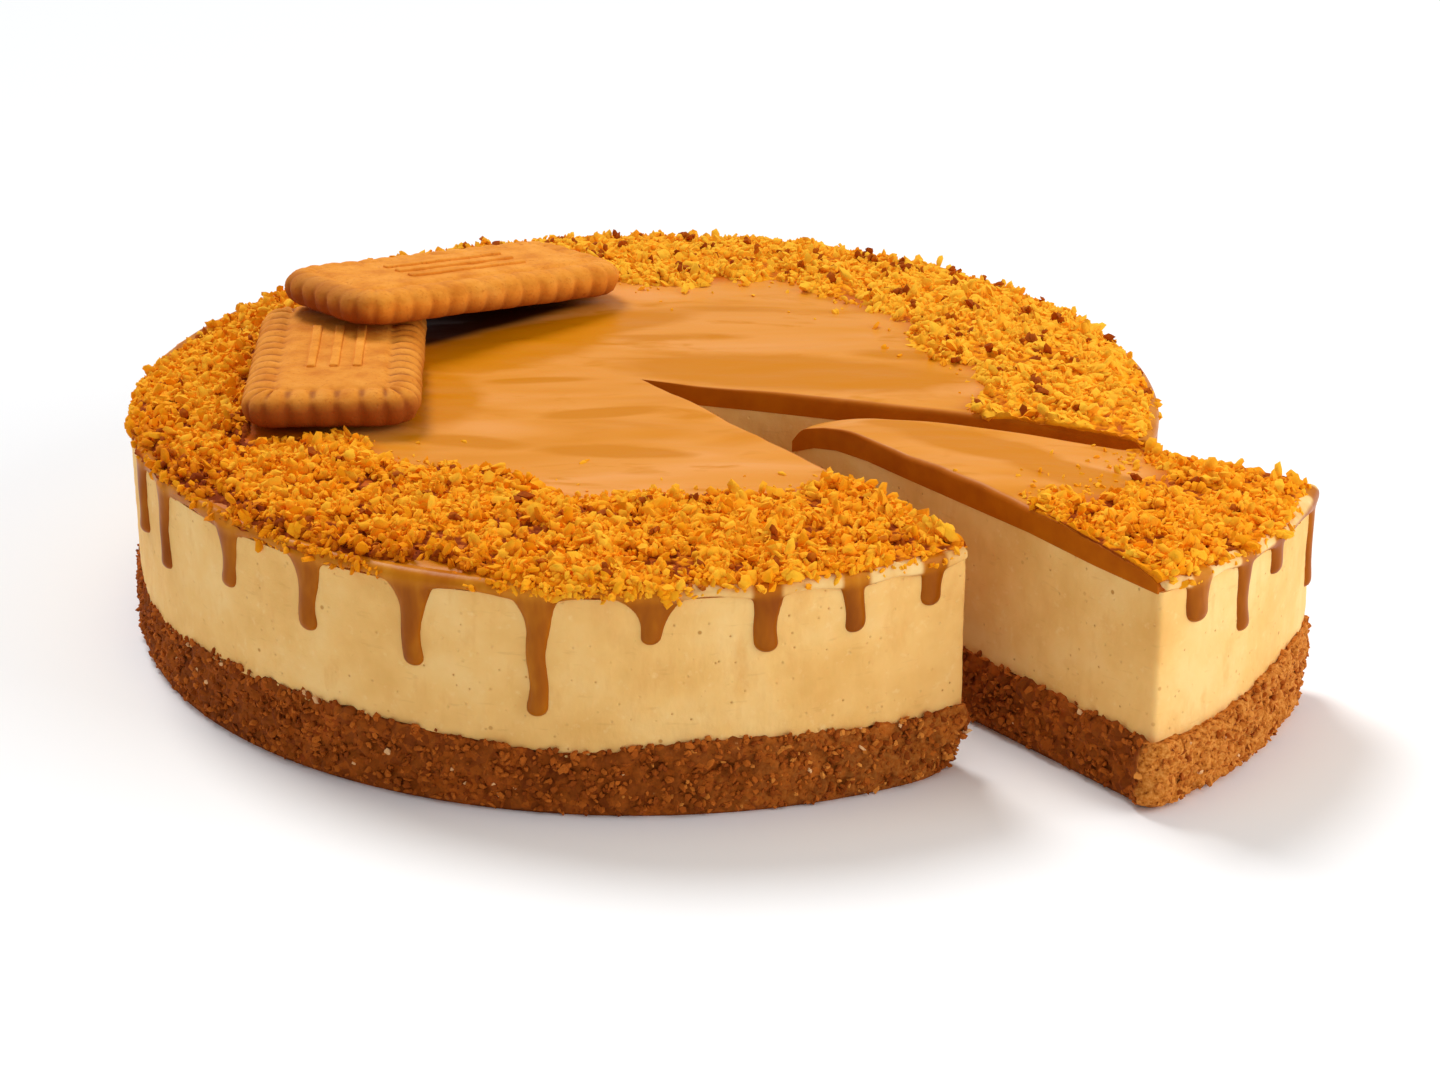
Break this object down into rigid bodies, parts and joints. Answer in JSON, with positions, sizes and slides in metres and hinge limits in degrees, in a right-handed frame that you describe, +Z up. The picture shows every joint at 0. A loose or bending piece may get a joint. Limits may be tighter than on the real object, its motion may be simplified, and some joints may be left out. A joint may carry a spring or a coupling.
{
  "type": "caramelised biscuit cheesecake",
  "caption": "Round layered cheesecake with one slice partly drawn out: crumb crust, set filling, caramel layer with side drips, crumb band and biscuits on top.",
  "frame": {"origin": "under the middle of the whole, on the surface that it stands on", "axes": "+Z up; +X to the right as the slice is drawn out to the right and front; +Y away from the front"},
  "size_m": [0.2066, 0.1874, 0.0543],
  "materials": {
    "crust": "rough pressed biscuit crumb, matt brown",
    "filling": "smooth pale set filling, soft satin",
    "caramel": "glossy caramelised spread with golden crumbs and brown drips",
    "biscuit": "baked biscuit, matt orange-tan"
  },
  "bodies": {
    "root": {"crust": "crust", "filling": "filling", "caramel": "caramel", "biscuit_front": "biscuit", "biscuit_back": "biscuit", "slice_crust": "crust", "slice_filling": "filling", "slice_caramel": "caramel"}
  },
  "joints": []
}
